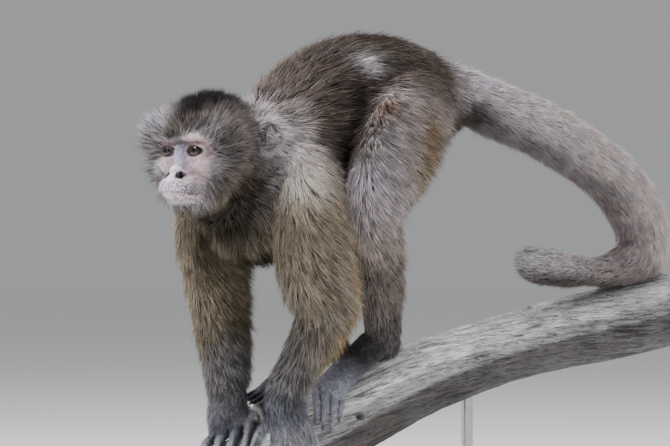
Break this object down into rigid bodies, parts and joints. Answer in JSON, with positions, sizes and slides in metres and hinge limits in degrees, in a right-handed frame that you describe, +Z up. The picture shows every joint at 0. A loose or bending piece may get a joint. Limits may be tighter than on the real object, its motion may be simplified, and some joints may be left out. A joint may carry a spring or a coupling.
{
  "type": "capuchin monkey model",
  "caption": "Life-size still model of a capuchin monkey on all fours on a cut branch, tail curled behind, with a plain display stand.",
  "frame": {"origin": "centre of the base's underside", "axes": "+Z up, -Y the way the monkey walks and its body points, +X towards its left side"},
  "size_m": [0.19, 0.594, 0.4715],
  "materials": {
    "fur_brown": "coat of brown and grey hair",
    "fur_head": "coat of pale grey and dark brown hair",
    "skin_dark": "dull grey skin with short hair",
    "eye_brown": "polished",
    "weathered_wood": "grey weathered, without bark",
    "plinth_wood": "satin varnish",
    "steel": "brushed"
  },
  "bodies": {
    "root": {"head": "fur_head", "ear_left": "skin_dark", "ear_right": "skin_dark", "eye_left": "eye_brown", "eye_right": "eye_brown", "neck": "fur_brown", "trunk": "fur_brown", "upper_arm_left": "fur_brown", "forearm_left": "fur_brown", "hand_left": "skin_dark", "upper_arm_right": "fur_brown", "forearm_right": "fur_brown", "hand_right": "skin_dark", "thigh_left": "fur_brown", "shin_left": "fur_brown", "foot_left": "skin_dark", "thigh_right": "fur_brown", "shin_right": "fur_brown", "foot_right": "skin_dark", "tail_1": "fur_brown", "tail_2": "fur_brown", "tail_3": "fur_brown", "tail_4": "fur_brown", "perch_branch": "weathered_wood", "stand_base": "plinth_wood", "stand_rod_front": "steel", "stand_rod_rear": "steel"}
  },
  "joints": []
}
